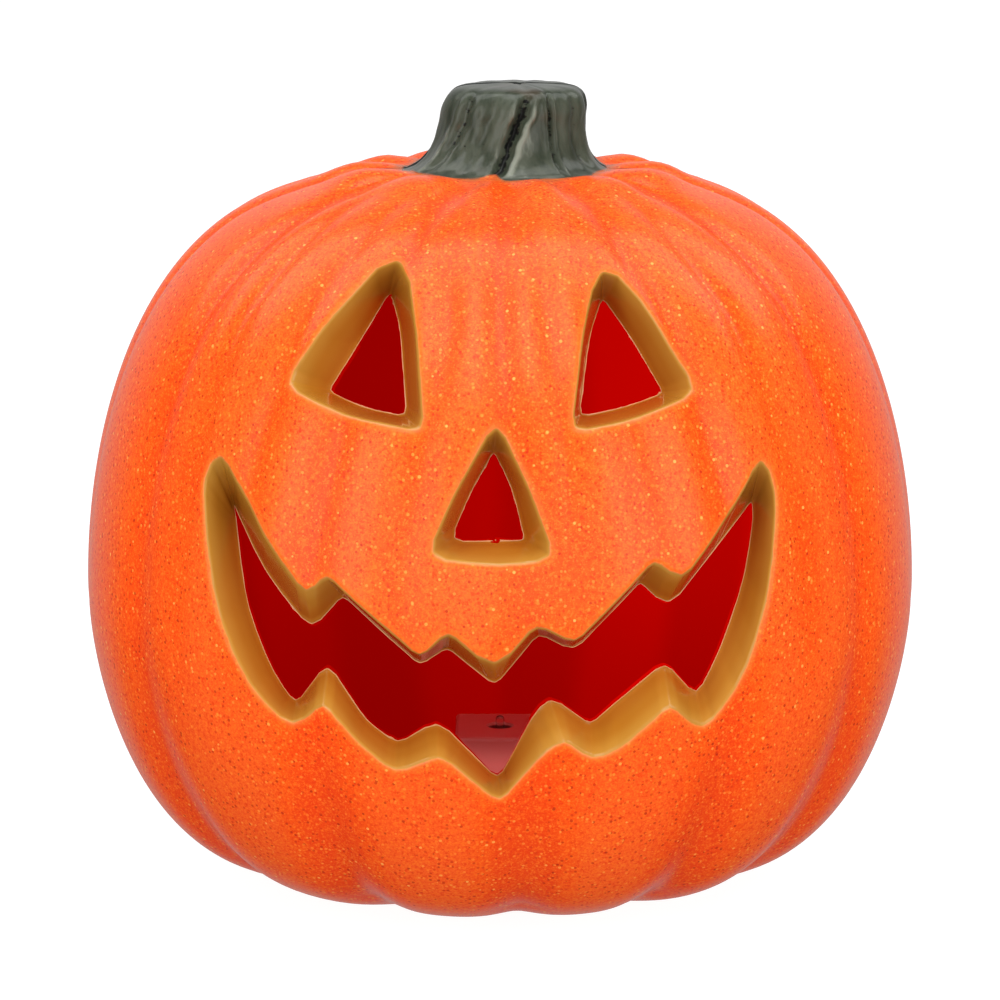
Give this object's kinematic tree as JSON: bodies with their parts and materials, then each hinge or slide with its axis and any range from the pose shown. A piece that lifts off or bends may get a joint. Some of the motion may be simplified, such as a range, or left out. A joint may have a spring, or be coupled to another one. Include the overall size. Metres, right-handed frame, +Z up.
{
  "type": "jack-o'-lantern lamp",
  "caption": "Hollow ribbed plastic pumpkin with a carved face and a moulded stem, lit from inside by a battery light unit screwed into its base.",
  "frame": {"origin": "middle of the flat ring that the pumpkin stands on, on the surface under it", "axes": "+Z up, the carved face looks along -Y, and +X is on the right of someone who looks at the face"},
  "size_m": [0.2796, 0.2794, 0.2666],
  "materials": {
    "orange_shell": "glitter spray paint on translucent plastic",
    "white_plastic": "fine texture",
    "milky_plastic": "satin, slightly translucent",
    "board": "solder mask",
    "black_plastic": "satin",
    "clear_lamp": "clear moulded",
    "steel": "nickel plated",
    "cell_jacket": "shrink sleeve",
    "red_insulation": "satin",
    "black_insulation": "satin"
  },
  "bodies": {
    "pumpkin": {"pumpkin_shell": "orange_shell", "battery_housing": "white_plastic", "light_cap": "milky_plastic", "circuit_board": "board", "resistor": "black_plastic", "lamp": "clear_lamp", "lamp_lead_plus": "steel", "lamp_lead_minus": "steel", "flange_screw_1": "steel", "flange_screw_2": "steel", "flange_screw_3": "steel", "board_screw_1": "steel", "board_screw_2": "steel", "battery_cell_left": "cell_jacket", "battery_cell_right": "cell_jacket", "contact_plate_plus": "steel", "contact_plate_minus": "steel", "contact_bridge": "steel", "contact_spring_minus": "steel", "contact_spring_bridge": "steel", "switch_case": "black_plastic", "wire_battery_red": "red_insulation", "wire_battery_black": "black_insulation", "wire_switch_in": "black_insulation", "wire_switch_out": "red_insulation"},
    "battery_door": {"battery_door": "white_plastic"},
    "switch_knob": {"switch_knob": "black_plastic"}
  },
  "joints": [
    {"name": "battery_door_hinge", "type": "hinge", "parent": "pumpkin", "child": "battery_door", "pos_m": [0, -0.0277, 0.0034], "axis": [-1, 0, 0], "range_deg": [0, 70]},
    {"name": "switch_slide", "type": "slide", "parent": "pumpkin", "child": "switch_knob", "axis": [1, 0, 0], "range_m": [0, 0.003]}
  ]
}
